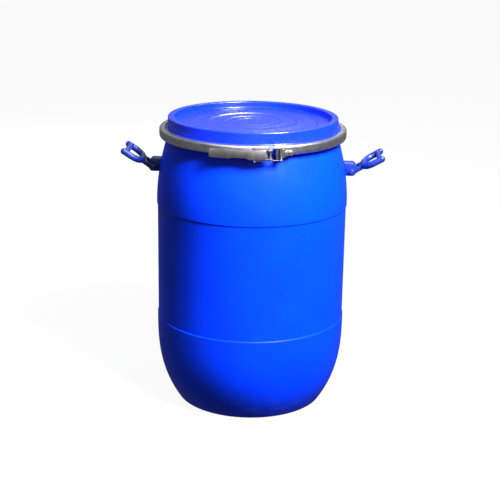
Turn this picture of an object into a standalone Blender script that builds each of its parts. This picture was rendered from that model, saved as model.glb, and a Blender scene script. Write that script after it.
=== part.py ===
"""Sixty-litre plastic open head drum: body, lid with gasket, lever locking ring and two side handles.

Metres, +Z up. The origin is the centre of the base. The latch faces -Y and the handles lie on X.
Angles round the drum are in degrees from the front (-Y), positive towards +X.
"""
import math

import bmesh
import bpy
from mathutils import Matrix, Vector

# ---- drum body
BODY_RADIUS = 0.1945          # middle panel of the wall
BAND_STEP = 0.0016            # the lower and upper bands stand this far proud of the middle panel
FLANGE_TOP = 0.5672           # floor to the top of the drum's clamping flange
WALL = 0.0036
FLOOR = 0.0045
HEEL_HEIGHT = 0.178           # the heel curve runs from the floor to here
HEEL_INSET = 0.043            # how far the heel comes in at the floor
HEEL_POWER = 2.8
LOWER_STEP = 0.1827           # floor to the ledge on top of the lower band
UPPER_STEP_DROP = 0.148       # flange top down to the ledge under the upper band
LEDGE = 0.0012                # half the height of a ledge
SHOULDER_DROP = 0.142         # flange top down to the start of the shoulder curve
SHOULDER_POWER = 1.9
NECK_RADIUS = 0.1748
NECK_DROP = 0.0122            # flange top down to the straight neck
PAD_RADIUS = 0.045            # flat pad in the middle of the base
GROOVE_RADIUS = 0.115         # outside of the shallow moulded groove round the pad
GROOVE_DEPTH = 0.004

# ---- mouth and clamping flange
FLANGE_REACH = 0.0095         # neck to the flange's outer edge
FLANGE_PLATE = 0.0035
FLANGE_DEPTH = 0.0078         # top of the flange to the bottom of its skirt
SKIRT = 0.0033
FLANGE_BEVEL = 0.0022         # outer corners of both clamped flanges, inside the ring's round corners
LIP_INSET = 0.0055            # neck in to the outside of the mouth lip
LIP_WALL = 0.0045
LIP_HEIGHT = 0.0218           # mouth lip above the flange

# ---- lid and gasket
LID_WALL = 0.0026
LID_LIP_CLEAR = 0.0015        # lid wall to mouth lip
LID_INNER_CLEAR = 0.0029      # mouth lip to the inner wall of the lid's channel
LID_TOP = 0.0030              # thickness over the channel
LID_DRAFT = 0.0006
LID_FLANGE_REACH = 0.0005     # lid flange past the drum's flange
LID_FLANGE_DEPTH = 0.0081
RECESS_DEPTH = 0.0120
RIM_ROUND = 0.0022
GASKET_HEIGHT = 0.0064
PANEL_RINGS = ((0.036, 0.0008, 0.0022), (0.058, 0.0010, 0.0030), (0.092, 0.0018, 0.0042))
PANEL_STEP_RADIUS = 0.130     # the outer panel is lower than the middle one outside this radius
PANEL_STEP = 0.0012

# ---- locking ring, a rolled steel C-section split at the front
RING_SHEET = 0.0013
RING_ROUND = 0.0075
RING_SIDE_CLEAR = 0.0055      # lid flange to the outside of the ring
RING_LIP_GRIP = 0.0055        # upper lip's reach over the lid flange
LOWER_LIP_GRIP = 0.0055
RING_PLAY = 0.0005            # ring lips to the two flanges
RING_GAP = (11.2, 15.7)       # the split, in degrees

# ---- latch, carried on the ring's ends
LATCH_DROP = 0.0050           # middle of the latch below the middle of the ring
PLATE = 0.0015
LEVER_PIN_ANGLE = 12.2
LEVER_PIN_HEIGHT = 0.0073     # ring face out to both pin axes
LINK_PIN_ANGLE = 3.3
LEVER_PIN_R = 0.0025
LINK_PIN_R = 0.0020
BLOCK_HALF = 0.00925          # half height of the lever's wide block
LINK_HALF = 0.0125            # half height over the link's side plates
LINK_WIDTH = 0.0072
HOOK_BAR_R = 0.0022
BASE_START = -2.5
UPRIGHT_ANGLE = 17.6
UPRIGHT_TOP = 0.0110          # ring face out to the top of the keeper's upright
KEEPER_END = 26.7
RIVET_R = 0.0020
RIVET_HEAD_R = 0.0034
RIVET_HEAD = 0.0014
RIVET_SEAT = 0.0014           # ring's inner face to the inner head, which clears the ring's curve
RIVET_RISE = 0.0018           # rivets above the middle of the latch
BASE_RIVETS = (1.4, 4.8)
KEEPER_RIVETS = (21.6, 24.4)
# stations of the lever: angle, outer face above the ring, half height, depth of its side walls
LEVER_STATIONS = (
    (-21.8, 0.0122, 0.0066, 0.0026), (-21.1, 0.0114, 0.0086, 0.0030), (-19.0, 0.0096, 0.0088, 0.0036),
    (-16.0, 0.0086, 0.0088, 0.0040), (-10.2, 0.0088, 0.0088, 0.0050), (-8.8, 0.0094, 0.0066, 0.0060),
    (-1.0, 0.0116, 0.0066, 0.0085), (0.2, 0.0122, BLOCK_HALF, 0.0090), (2.0, 0.0125, BLOCK_HALF, 0.0097),
    (9.6, 0.0125, BLOCK_HALF, 0.0097))

# ---- side handles
PIVOT_OUT = 0.0136            # wall out to the handle pivot
PIVOT_DROP = 0.0772           # flange top down to the pivot
HANDLE_REST = {-1: 33.0, 1: 30.0}   # left and right handle above the horizontal, in degrees
GRIP_AT = 0.062               # pivot to the middle of the grip
GRIP_R = (0.0056, 0.0070)     # waist and ends of the grip
ARM_R = (0.0058, 0.0068)      # half width and half depth of the loop's arms
ARM_SPACING = 0.070           # between the middles of the two arms
TIP_AT = 0.0735               # pivot to the horn tips
LOOP_ROUND = 0.027            # length of the loop's round end
LOOP_SWELL = 0.26             # the bar is this much wider by the neck than in the arms
LOOP_POWER = 0.84             # below 1 the round end is fuller than an ellipse
EYE_R = 0.0074
EYE_THICK = 0.0047
NECK_HALF = 0.0075            # half width of the waist between fork and loop
NECK_THICK = 0.0046           # half thickness of the fork
LUG_HALF = 0.0128             # half width of the lug
LUG_OUT = 0.0075              # pivot out to the lug's outer face
LUG_UP = 0.0180
LUG_DOWN = 0.0085
LUG_BEVEL = 0.0050            # outer corners of the lug
HANDLE_PIN_R = 0.0036
HANDLE_PIN_HEAD = 0.0016

# ---- fits and facets
GAP = 0.0003                  # between pieces that touch
ROUND = 48                    # facets round the drum
RING_FACETS = 52
SMALL = 12                    # facets round pins and rivets

# ---- places worked out from the sizes above
BAND_RADIUS = BODY_RADIUS + BAND_STEP
UPPER_STEP = FLANGE_TOP - UPPER_STEP_DROP
SHOULDER_START = FLANGE_TOP - SHOULDER_DROP
NECK_START = FLANGE_TOP - NECK_DROP
FLANGE_RADIUS = NECK_RADIUS + FLANGE_REACH
FLANGE_BOTTOM = FLANGE_TOP - FLANGE_DEPTH
LIP_OUTER = NECK_RADIUS - LIP_INSET
LIP_INNER = LIP_OUTER - LIP_WALL
LIP_TOP = FLANGE_TOP + LIP_HEIGHT
CHANNEL_OUTER = LIP_OUTER + LID_LIP_CLEAR
CHANNEL_INNER = LIP_INNER - LID_INNER_CLEAR
LID_OUTER = CHANNEL_OUTER + LID_WALL
RIM_INNER = CHANNEL_INNER - LID_WALL
CHANNEL_TOP = LIP_TOP + GAP + GASKET_HEIGHT + GAP
LID_HEIGHT = CHANNEL_TOP + LID_TOP
RECESS_FLOOR = LID_HEIGHT - RECESS_DEPTH
LID_FLANGE_RADIUS = FLANGE_RADIUS + LID_FLANGE_REACH
LID_FLANGE_BOTTOM = FLANGE_TOP + GAP
LID_FLANGE_TOP = LID_FLANGE_BOTTOM + LID_FLANGE_DEPTH
RING_OUTER = LID_FLANGE_RADIUS + RING_SIDE_CLEAR
RING_TOP = LID_FLANGE_TOP + RING_PLAY + RING_SHEET
RING_BOTTOM = FLANGE_BOTTOM - RING_PLAY - RING_SHEET
LATCH_Z = (RING_TOP + RING_BOTTOM) / 2 - LATCH_DROP
PLATE_IN = RING_OUTER + GAP
PLATE_OUT = PLATE_IN + PLATE
PIN_CIRCLE = RING_OUTER + LEVER_PIN_HEIGHT
EAR_HALF = BLOCK_HALF - PLATE - GAP
LINK_INNER = LINK_HALF - PLATE
HOOK_CIRCLE = PLATE_OUT + GAP + HOOK_BAR_R + 0.0014
BASE_END = RING_GAP[0] - 0.3
EAR_REACH = PIN_CIRCLE * math.radians(LEVER_PIN_ANGLE - BASE_END) + 0.0066
CHEEK_REACH = PIN_CIRCLE * math.radians(LEVER_PIN_ANGLE - LEVER_STATIONS[-1][0]) + 0.0037
LUG_RADIUS = math.hypot(LUG_OUT - LUG_BEVEL, LUG_UP) + 0.0005
LOOP_START = LUG_RADIUS + ARM_R[0] * (1 + LOOP_SWELL) + GAP
HOOK_ANGLE = UPRIGHT_ANGLE + math.degrees((PLATE / 2 + GAP + HOOK_BAR_R) / HOOK_CIRCLE)


# ---- small geometry helpers
def arc(centre, radius, start, end, steps):
    """Points of an arc in a plane, angles in degrees."""
    angles = [math.radians(start + (end - start) * i / steps) for i in range(steps + 1)]
    return [(centre[0] + radius * math.cos(a), centre[1] + radius * math.sin(a)) for a in angles]


def ring_frame(angle, radius, height=None):
    """Frame at a place round the drum: x along the ring, y outwards, z up."""
    a = math.radians(angle)
    along, out = Vector((math.cos(a), math.sin(a), 0)), Vector((math.sin(a), -math.cos(a), 0))
    place = out * radius + Vector((0, 0, LATCH_Z if height is None else height))
    return Matrix((
        (along.x, out.x, 0, place.x), (along.y, out.y, 0, place.y), (0, 0, 1, place.z), (0, 0, 0, 1)))


def at_angle(angle, radius, height):
    a = math.radians(angle)
    return Vector((radius * math.sin(a), -radius * math.cos(a), height))


def make_object(name, mesh):
    piece = bpy.data.objects.new(name, mesh)
    bpy.context.scene.collection.objects.link(piece)
    return piece


def closed_mesh(name, bm, smooth=40):
    """Turns a bmesh into a mesh with merged seams and faces pointing out."""
    bmesh.ops.remove_doubles(bm, verts=bm.verts, dist=0.000005)
    bmesh.ops.dissolve_degenerate(bm, edges=bm.edges, dist=0.000001)
    bmesh.ops.recalc_face_normals(bm, faces=bm.faces)
    mesh = bpy.data.meshes.new(name)
    bm.to_mesh(mesh)
    bm.free()
    mesh.shade_smooth()
    mesh.set_sharp_from_angle(angle=math.radians(smooth))
    return mesh


def skin(name, sections, closed=False, smooth=40):
    """Joins a row of equal point loops into one closed body, capped at both ends or joined round."""
    bm = bmesh.new()
    loops = [[bm.verts.new(p) for p in section] for section in sections]
    count = len(loops[0])
    pairs = list(zip(loops, loops[1:])) + ([(loops[-1], loops[0])] if closed else [])
    for here, there in pairs:
        for i in range(count):
            j = (i + 1) % count
            bm.faces.new((here[i], here[j], there[j], there[i]))
    if not closed:
        bm.faces.new(loops[0])
        bm.faces.new(loops[-1])
    return make_object(name, closed_mesh(name, bm, smooth))


def turned(name, outline, facets=ROUND):
    """A closed outline of (radius, height) points turned round the drum's axis."""
    bm = bmesh.new()
    verts = [bm.verts.new((r, 0, z)) for r, z in outline]
    edges = [bm.edges.new((verts[i], verts[(i + 1) % len(verts)])) for i in range(len(verts))]
    on_axis = [e for e in edges if all(v.co.x < 1e-6 for v in e.verts)]
    bmesh.ops.delete(bm, geom=on_axis, context="EDGES_FACES")
    geometry = bm.verts[:] + bm.edges[:]
    bmesh.ops.spin(bm, geom=geometry, axis=(0, 0, 1), angle=math.tau, steps=facets, use_merge=True)
    return make_object(name, closed_mesh(name, bm))


def swept(name, outline, start, end, steps):
    """A closed (radius, height) outline carried round the drum from one angle to another."""
    angles = [start + (end - start) * i / steps for i in range(steps + 1)]
    return skin(name, [[at_angle(a, r, z) for r, z in outline] for a in angles])


def prism(name, outline, low, high, frame):
    """A flat outline in the frame's x and y, from low to high along its z."""
    sections = [[frame @ Vector((x, y, level)) for x, y in outline] for level in (low, high)]
    return skin(name, sections)


def rod(name, frame, stations, facets=SMALL):
    """A round pin along the frame's z, from (height, radius) stations."""
    spokes = [math.tau * i / facets for i in range(facets)]
    sections = [
        [frame @ Vector((r * math.cos(a), r * math.sin(a), z)) for a in spokes] for z, r in stations]
    return skin(name, sections)


def combine(piece, others, operation):
    """Applies a Boolean with each of the other objects and removes them."""
    for other in others:
        modifier = piece.modifiers.new(operation, "BOOLEAN")
        modifier.operation = operation
        modifier.object = other
        modifier.solver = "EXACT"
        evaluated = piece.evaluated_get(bpy.context.evaluated_depsgraph_get())
        bm = bmesh.new()
        bm.from_mesh(bpy.data.meshes.new_from_object(evaluated))
        piece.modifiers.clear()
        piece.data = closed_mesh(piece.name, bm)
        bpy.data.objects.remove(other)
    return piece


def on_axis(piece, origin, turn=None):
    """Moves a piece's origin to a point without moving its shape, or places a local shape there."""
    if turn is None:
        piece.data.transform(Matrix.Translation(-origin))
    else:
        piece.rotation_euler = turn
    piece.location = origin
    return piece


def finish(piece, colour, roughness, metallic):
    material = bpy.data.materials.new(piece.name + "_finish")
    material.use_nodes = True
    shader = material.node_tree.nodes["Principled BSDF"]
    shader.inputs["Base Color"].default_value = (*colour, 1)
    shader.inputs["Roughness"].default_value = roughness
    shader.inputs["Metallic"].default_value = metallic
    piece.data.materials.clear()
    piece.data.materials.append(material)
    return piece


def moulded_blue(piece):
    return finish(piece, (0.005, 0.12, 0.80), 0.38, 0.0)


def lid_blue(piece):
    return finish(piece, (0.010, 0.07, 0.72), 0.25, 0.0)


def handle_blue(piece):
    return finish(piece, (0.030, 0.06, 0.60), 0.35, 0.0)


def galvanised(piece):
    return finish(piece, (0.62, 0.64, 0.66), 0.34, 1.0)


# ---- drum body
def wall_radius(z):
    """Outside of the drum's wall at a height."""
    if z < HEEL_HEIGHT:
        return BAND_RADIUS - HEEL_INSET * ((HEEL_HEIGHT - z) / HEEL_HEIGHT) ** HEEL_POWER
    if z <= LOWER_STEP:
        return BAND_RADIUS
    if z < UPPER_STEP:
        return BODY_RADIUS
    if z <= SHOULDER_START:
        return BAND_RADIUS
    run = min((z - SHOULDER_START) / (NECK_START - SHOULDER_START), 1)
    return BAND_RADIUS - (BAND_RADIUS - NECK_RADIUS) * run ** SHOULDER_POWER


def heel_heights(count, low):
    """Heights up the heel, closer together near the floor where it bends."""
    return [low + (HEEL_HEIGHT - low) * (i / count) ** 1.35 for i in range(count + 1)]


def shoulder_heights(count):
    span = NECK_START - SHOULDER_START
    return [SHOULDER_START + span * i / count for i in range(count + 1)]


def outer_wall():
    heel = [(wall_radius(z), z) for z in heel_heights(8, 0)]
    ledges = [
        (BAND_RADIUS, LOWER_STEP - LEDGE), (BODY_RADIUS, LOWER_STEP + LEDGE),
        (BODY_RADIUS, UPPER_STEP - LEDGE), (BAND_RADIUS, UPPER_STEP + LEDGE)]
    return heel + ledges + [(wall_radius(z), z) for z in shoulder_heights(6)]


def flange_and_lip():
    skirt_inner = FLANGE_RADIUS - SKIRT
    under = FLANGE_TOP - FLANGE_PLATE
    return [
        (NECK_RADIUS, under), (skirt_inner, under), (skirt_inner, FLANGE_BOTTOM),
        (FLANGE_RADIUS - FLANGE_BEVEL, FLANGE_BOTTOM), (FLANGE_RADIUS, FLANGE_BOTTOM + FLANGE_BEVEL),
        (FLANGE_RADIUS, FLANGE_TOP), (LIP_OUTER, FLANGE_TOP),
        (LIP_OUTER, LIP_TOP - 0.001), (LIP_OUTER - 0.001, LIP_TOP), (LIP_INNER + 0.001, LIP_TOP),
        (LIP_INNER, LIP_TOP - 0.001), (LIP_INNER, under), (NECK_RADIUS - WALL, NECK_START)]


def inner_wall():
    """Inside of the drum from the shoulder down to the centre of its floor."""
    shoulder = [(wall_radius(z) - WALL, z) for z in shoulder_heights(4)[:-1]]
    heel = [(wall_radius(z) - WALL, z) for z in heel_heights(5, FLOOR)]
    groove = GROOVE_DEPTH + FLOOR
    floor = [
        (GROOVE_RADIUS + GROOVE_DEPTH, FLOOR), (GROOVE_RADIUS, groove),
        (PAD_RADIUS + GROOVE_DEPTH, groove), (PAD_RADIUS, FLOOR), (0, FLOOR)]
    return shoulder[::-1] + heel[::-1] + floor


def underside():
    return [
        (0, 0), (PAD_RADIUS, 0), (PAD_RADIUS + GROOVE_DEPTH, GROOVE_DEPTH),
        (GROOVE_RADIUS, GROOVE_DEPTH), (GROOVE_RADIUS + GROOVE_DEPTH, 0)]


def build_drum_body():
    outline = underside() + outer_wall() + flange_and_lip() + inner_wall()
    return moulded_blue(turned("drum_body", outline))


# ---- lid and gasket
def panel_top():
    """The recessed panel with its moulded rings, from the centre to the recess wall."""
    points = [(0, RECESS_FLOOR)]
    for radius, height, width in PANEL_RINGS:
        points += [
            (radius - width, RECESS_FLOOR), (radius - width / 3, RECESS_FLOOR + height),
            (radius + width / 3, RECESS_FLOOR + height), (radius + width, RECESS_FLOOR)]
    low = RECESS_FLOOR - PANEL_STEP
    points += [(PANEL_STEP_RADIUS - PANEL_STEP, RECESS_FLOOR), (PANEL_STEP_RADIUS + PANEL_STEP, low)]
    return points + [(RIM_INNER - RIM_ROUND, low), (RIM_INNER - RIM_ROUND / 3, low + RIM_ROUND)]


def rim_outside():
    top = LID_HEIGHT - RIM_ROUND
    inner = arc((RIM_INNER + RIM_ROUND, top), RIM_ROUND, 180, 90, 3)
    outer = arc((LID_OUTER - LID_DRAFT - RIM_ROUND, top), RIM_ROUND, 90, 0, 3)
    return inner + outer + [
        (LID_OUTER, LID_FLANGE_TOP + 0.0015), (LID_OUTER + 0.0015, LID_FLANGE_TOP),
        (LID_FLANGE_RADIUS - FLANGE_BEVEL, LID_FLANGE_TOP),
        (LID_FLANGE_RADIUS, LID_FLANGE_TOP - FLANGE_BEVEL), (LID_FLANGE_RADIUS, LID_FLANGE_BOTTOM)]


def lid_underside():
    skirt_inner = LID_FLANGE_RADIUS - SKIRT
    plate_under = LID_FLANGE_TOP - LID_TOP
    panel_under = RECESS_FLOOR - PANEL_STEP - LID_WALL
    return [
        (skirt_inner, LID_FLANGE_BOTTOM), (skirt_inner, plate_under), (CHANNEL_OUTER, plate_under),
        (CHANNEL_OUTER, CHANNEL_TOP), (CHANNEL_INNER, CHANNEL_TOP), (CHANNEL_INNER, panel_under),
        (0, panel_under)]


def build_lid():
    return lid_blue(turned("lid", panel_top() + rim_outside() + lid_underside()))


def build_lid_gasket():
    low, high = LIP_TOP + GAP, CHANNEL_TOP - GAP
    inner, outer = CHANNEL_INNER + GAP, CHANNEL_OUTER - GAP
    corner = 0.0012
    outline = [
        (inner + corner, low), (outer - corner, low), (outer, low + corner), (outer, high - corner),
        (outer - corner, high), (inner + corner, high), (inner, high - corner), (inner, low + corner)]
    return finish(turned("lid_gasket", outline), (0.02, 0.02, 0.022), 0.8, 0.0)


# ---- locking ring
def ring_section():
    """Rolled C-section, open towards the drum."""
    upper_edge, lower_edge = LID_FLANGE_RADIUS - RING_LIP_GRIP, FLANGE_RADIUS - LOWER_LIP_GRIP
    corner, middle = RING_ROUND, RING_OUTER - RING_ROUND
    top, bottom = RING_TOP - corner, RING_BOTTOM + corner
    outside = (
        [(upper_edge, RING_TOP)] + arc((middle, top), corner, 90, 0, 3)
        + arc((middle, bottom), corner, 0, -90, 3) + [(lower_edge, RING_BOTTOM)])
    bore = corner - RING_SHEET
    inside = (
        [(lower_edge, RING_BOTTOM + RING_SHEET)] + arc((middle, bottom), bore, -90, 0, 3)
        + arc((middle, top), bore, 0, 90, 3) + [(upper_edge, RING_TOP - RING_SHEET)])
    return outside + inside


def radial_frame(angle):
    """Frame with its z axis pointing out of the ring at a place round the drum."""
    frame = ring_frame(angle, 0, LATCH_Z + RIVET_RISE)
    along, out = frame.col[0].xyz, frame.col[1].xyz
    place = frame.col[3].xyz
    up = Vector((0, 0, 1))
    return Matrix((
        (along.x, up.x, out.x, place.x), (along.y, up.y, out.y, place.y),
        (along.z, up.z, out.z, place.z), (0, 0, 0, 1)))


def rivet_holes(angles):
    hole = RIVET_R + GAP
    low, high = RING_OUTER - 2 * RING_ROUND, PLATE_OUT + RING_ROUND
    return [rod("rivet_hole", radial_frame(a), [(low, hole), (high, hole)]) for a in angles]


def build_locking_ring():
    ring = swept("locking_ring", ring_section(), RING_GAP[1], 360 + RING_GAP[0], RING_FACETS)
    return galvanised(combine(ring, rivet_holes(BASE_RIVETS + KEEPER_RIVETS), "DIFFERENCE"))


def build_rivet(name, angle):
    bore = RING_OUTER - RING_SHEET - RIVET_SEAT
    head = PLATE_OUT + GAP
    inner_head = RIVET_HEAD_R * 0.76
    stations = [
        (bore - RIVET_HEAD / 2, inner_head * 0.8), (bore, inner_head), (bore, RIVET_R), (head, RIVET_R),
        (head, RIVET_HEAD_R), (head + RIVET_HEAD / 2, RIVET_HEAD_R * 0.9),
        (head + RIVET_HEAD, RIVET_HEAD_R * 0.45)]
    return galvanised(rod(name, radial_frame(angle), stations))


# ---- latch
def ear_outline():
    """One ear of the base, in the lever pin's frame: a foot on the plate and a round top."""
    foot = PLATE_OUT - PIN_CIRCLE - PLATE / 2
    return [(-EAR_REACH, foot - 0.0002), (-0.0006, foot)] + arc((0, 0), 0.0042, -40, 150, 8) + [
        (-EAR_REACH, foot + 0.0016)]


def build_latch_base():
    half = EAR_HALF - 0.00002
    plate = [(PLATE_IN, LATCH_Z - half), (PLATE_OUT, LATCH_Z - half),
             (PLATE_OUT, LATCH_Z + half), (PLATE_IN, LATCH_Z + half)]
    base = swept("latch_base", plate, BASE_START, BASE_END, 6)
    frame = ring_frame(LEVER_PIN_ANGLE, PIN_CIRCLE)
    ears = [
        prism("ear", ear_outline(), side * EAR_HALF, side * (EAR_HALF - PLATE), frame)
        for side in (-1, 1)]
    combine(base, ears, "UNION")
    bore = LEVER_PIN_R + GAP
    holes = rivet_holes(BASE_RIVETS) + [rod("pin_hole", frame, [(-0.02, bore), (0.02, bore)])]
    return galvanised(combine(base, holes, "DIFFERENCE"))


def lever_section(angle, out, half, depth):
    """U-section of the lever with its open side towards the ring."""
    face, foot, web = RING_OUTER + out, RING_OUTER + out - depth, RING_OUTER + out - PLATE
    inner = half - PLATE
    points = [
        (foot, -half), (face, -half), (face, half), (foot, half),
        (foot, inner), (web, inner), (web, -inner), (foot, -inner)]
    return [at_angle(angle, r, LATCH_Z + z) for r, z in points]


def lever_sections(longest=2.6):
    sections = []
    for here, there in zip(LEVER_STATIONS, LEVER_STATIONS[1:]):
        count = math.ceil((there[0] - here[0]) / longest)
        for i in range(count):
            share = i / count
            sections.append([a + (b - a) * share for a, b in zip(here, there)])
    sections.append(LEVER_STATIONS[-1])
    return [lever_section(*s) for s in sections]


def cheek_outline():
    """Rounded end of a lever side wall about the lever pin, with a tail inside the wall."""
    return [(-CHEEK_REACH, -0.0040)] + arc((0, 0), 0.0048, -80, 80, 8) + [(-CHEEK_REACH, 0.0036)]


def build_latch_lever():
    lever = skin("latch_lever", lever_sections())
    frame = ring_frame(LEVER_PIN_ANGLE, PIN_CIRCLE)
    cheeks = [
        prism("cheek", cheek_outline(), side * BLOCK_HALF * 0.9999, side * (BLOCK_HALF - PLATE), frame)
        for side in (-1, 1)]
    combine(lever, cheeks, "UNION")
    link_frame = ring_frame(LINK_PIN_ANGLE, PIN_CIRCLE)
    holes = [
        rod("hole", place, [(-0.02, radius + GAP), (0.02, radius + GAP)])
        for place, radius in ((frame, LEVER_PIN_R), (link_frame, LINK_PIN_R))]
    combine(lever, holes, "DIFFERENCE")
    return galvanised(on_axis(lever, frame.translation))


def pin_stations(length, radius, head_radius, head):
    return [
        (-length - head, head_radius * 0.8), (-length - head * 0.6, head_radius), (-length, head_radius),
        (-length, radius), (length, radius), (length, head_radius), (length + head * 0.6, head_radius),
        (length + head, head_radius * 0.8)]


def build_lever_pin():
    frame = ring_frame(LEVER_PIN_ANGLE, PIN_CIRCLE)
    stations = pin_stations(BLOCK_HALF + GAP, LEVER_PIN_R, 0.0040, 0.0011)
    return galvanised(on_axis(rod("lever_pin", frame, stations), frame.translation))


def build_link_pin():
    frame = ring_frame(LINK_PIN_ANGLE, PIN_CIRCLE)
    stations = pin_stations(LINK_HALF + GAP, LINK_PIN_R, 0.0034, 0.0012)
    return galvanised(on_axis(rod("link_pin", frame, stations), frame.translation))


def link_outline():
    """Side plate from the link pin to the hook bar, in the link pin's frame."""
    frame = ring_frame(LINK_PIN_ANGLE, PIN_CIRCLE)
    hook = frame.inverted() @ at_angle(HOOK_ANGLE, HOOK_CIRCLE, LATCH_Z)
    slope = math.degrees(math.atan2(hook.y, hook.x))
    half = LINK_WIDTH / 2
    return (arc((0, 0), half, 90 + slope, 270 + slope, 6)
            + arc((hook.x, hook.y), half * 0.9, -90 + slope, 90 + slope, 6))


def build_latch_link():
    frame = ring_frame(LINK_PIN_ANGLE, PIN_CIRCLE)
    link, plate = [
        prism("latch_link", link_outline(), side * LINK_HALF, side * LINK_INNER, frame)
        for side in (-1, 1)]
    reach = LINK_HALF - PLATE / 2
    bar = rod("bar", ring_frame(HOOK_ANGLE, HOOK_CIRCLE), [(-reach, HOOK_BAR_R), (reach, HOOK_BAR_R)])
    combine(link, [bar, plate], "UNION")
    bore = LINK_PIN_R + GAP
    combine(link, [rod("pin_hole", frame, [(-0.02, bore), (0.02, bore)])], "DIFFERENCE")
    return galvanised(on_axis(link, frame.translation))


def keeper_half_height(angle):
    """Full height by the upright, tapering to a rounded end."""
    start, end = RING_GAP[1] + 0.3, KEEPER_END
    wide, narrow = 0.0100, 0.0055
    run = (angle - start) / (end - start)
    half = wide if run < 0.35 else wide + (narrow - wide) * min((run - 0.35) / 0.25, 1)
    tip = math.radians(end - angle) * PLATE_OUT
    if tip < narrow:
        half = min(half, math.sqrt(max(narrow ** 2 - (narrow - tip) ** 2, 0.0000009)))
    return half


def build_keeper():
    start, steps = RING_GAP[1] + 0.3, 15
    angles = [start + (KEEPER_END - start) * i / steps for i in range(steps + 1)]
    sections = []
    for angle in angles:
        half = keeper_half_height(angle)
        corners = ((PLATE_IN, -half), (PLATE_OUT, -half), (PLATE_OUT, half), (PLATE_IN, half))
        sections.append([at_angle(angle, r, LATCH_Z + z) for r, z in corners])
    keeper = skin("keeper", sections)
    half, top, foot = PLATE / 2, RING_OUTER + UPRIGHT_TOP, PLATE_IN + PLATE / 3
    outline = [(-half, foot), (half, foot), (half, top - half), (0, top), (-half, top - half)]
    reach = LINK_INNER - 2 * GAP
    upright = prism("upright", outline, -reach, reach, ring_frame(UPRIGHT_ANGLE, 0))
    combine(keeper, [upright], "UNION")
    return galvanised(combine(keeper, rivet_holes(KEEPER_RIVETS), "DIFFERENCE"))


# ---- side handles. Each is modelled with x away from the pivot, y along the pivot pin and z up
def pivot_place(side):
    height = FLANGE_TOP - PIVOT_DROP
    return Vector((side * (wall_radius(height) + PIVOT_OUT), 0, height))


def cross_frame(offset):
    """Frame whose z runs along y and whose x and y are x and z, for shapes in the handle's side view."""
    return Matrix(((1, 0, 0, offset), (0, 0, 1, 0), (0, 1, 0, 0), (0, 0, 0, 1)))


def loop_stations():
    """Middle line of the loop, from tip to tip past the neck, and the bar's half width at each point."""
    half = ARM_SPACING / 2
    bend = LOOP_START + LOOP_ROUND
    turn = [math.radians(90 + 180 * i / 14) for i in range(15)]
    end = [
        (bend - LOOP_ROUND * abs(math.cos(a)) ** LOOP_POWER,
         math.copysign(half * abs(math.sin(a)) ** LOOP_POWER, math.sin(a)),
         ARM_R[0] * (1 + LOOP_SWELL * abs(math.cos(a)))) for a in turn]
    tip = TIP_AT - ARM_R[0]
    straight = [(tip, half, ARM_R[0]), ((tip + bend) / 2, half, ARM_R[0])]
    return straight + end + [(x, -y, r) for x, y, r in straight[::-1]]


def tube(name, stations, half_depth, facets=10):
    """An oval bar with rounded ends along a flat path of (x, y, half width) stations."""
    points = [Vector((x, y, 0)) for x, y, _ in stations]
    count = len(points)
    tangents = [(points[min(i + 1, count - 1)] - points[max(i - 1, 0)]).normalized() for i in range(count)]
    rings = [(points[i], tangents[i], stations[i][2], half_depth) for i in range(count)]
    for end, sign in ((0, -1), (-1, 1)):
        width, along = stations[end][2], tangents[end] * sign
        caps = [
            (points[end] + along * width * math.sin(a), tangents[end],
             width * math.cos(a), half_depth * math.cos(a)) for a in map(math.radians, (35, 65, 86))]
        rings = caps[::-1] + rings if end == 0 else rings + caps
    spokes = [math.tau * i / facets for i in range(facets)]
    up = Vector((0, 0, 1))
    sections = [
        [p + t.cross(up) * width * math.cos(a) + up * depth * math.sin(a) for a in spokes]
        for p, t, width, depth in rings]
    return skin(name, sections)


def eye_outline():
    """Eye round the pivot pin with an arm running out to the fork's bridge, in side view."""
    reach = LUG_RADIUS + 0.0030
    return arc((0, 0), EYE_R, 45, 315, 12) + [(reach, -NECK_THICK), (reach, NECK_THICK)]


def bridge_outline():
    """Bridge from the two eyes to the narrow neck, seen from above."""
    outer = LUG_HALF + GAP + EYE_THICK
    upper = [
        (LUG_RADIUS, outer * 0.9999), (LUG_RADIUS + 0.0014, outer * 0.93), (LUG_RADIUS + 0.0052, NECK_HALF),
        (LOOP_START, NECK_HALF)]
    return upper + [(x, -y) for x, y in upper[::-1]]


def grip_stations():
    reach = ARM_SPACING / 2
    waist, end = GRIP_R
    return [
        (-reach, end * 0.7), (-reach + 0.004, end), (-reach * 0.62, waist), (0, waist),
        (reach * 0.62, waist), (reach - 0.004, end), (reach, end * 0.7)]


def build_handle(name, side):
    flat = Matrix.Identity(4)
    handle = tube(name, loop_stations(), ARM_R[1])
    inner, outer = LUG_HALF + GAP, LUG_HALF + GAP + EYE_THICK
    parts = [rod("grip", cross_frame(GRIP_AT), grip_stations())]
    parts += [prism("bridge", bridge_outline(), -NECK_THICK * 0.9998, NECK_THICK * 0.9998, flat)]
    parts += [prism("eye", eye_outline(), s * inner, s * outer, cross_frame(0)) for s in (-1, 1)]
    combine(handle, parts, "UNION")
    bore = HANDLE_PIN_R + GAP
    hole = rod("hole", cross_frame(0), [(-2 * outer, bore), (2 * outer, bore)], 16)
    combine(handle, [hole], "DIFFERENCE")
    turn = (0, -math.radians(HANDLE_REST[side]), 0 if side > 0 else math.pi)
    return handle_blue(on_axis(handle, pivot_place(side), turn))


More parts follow.
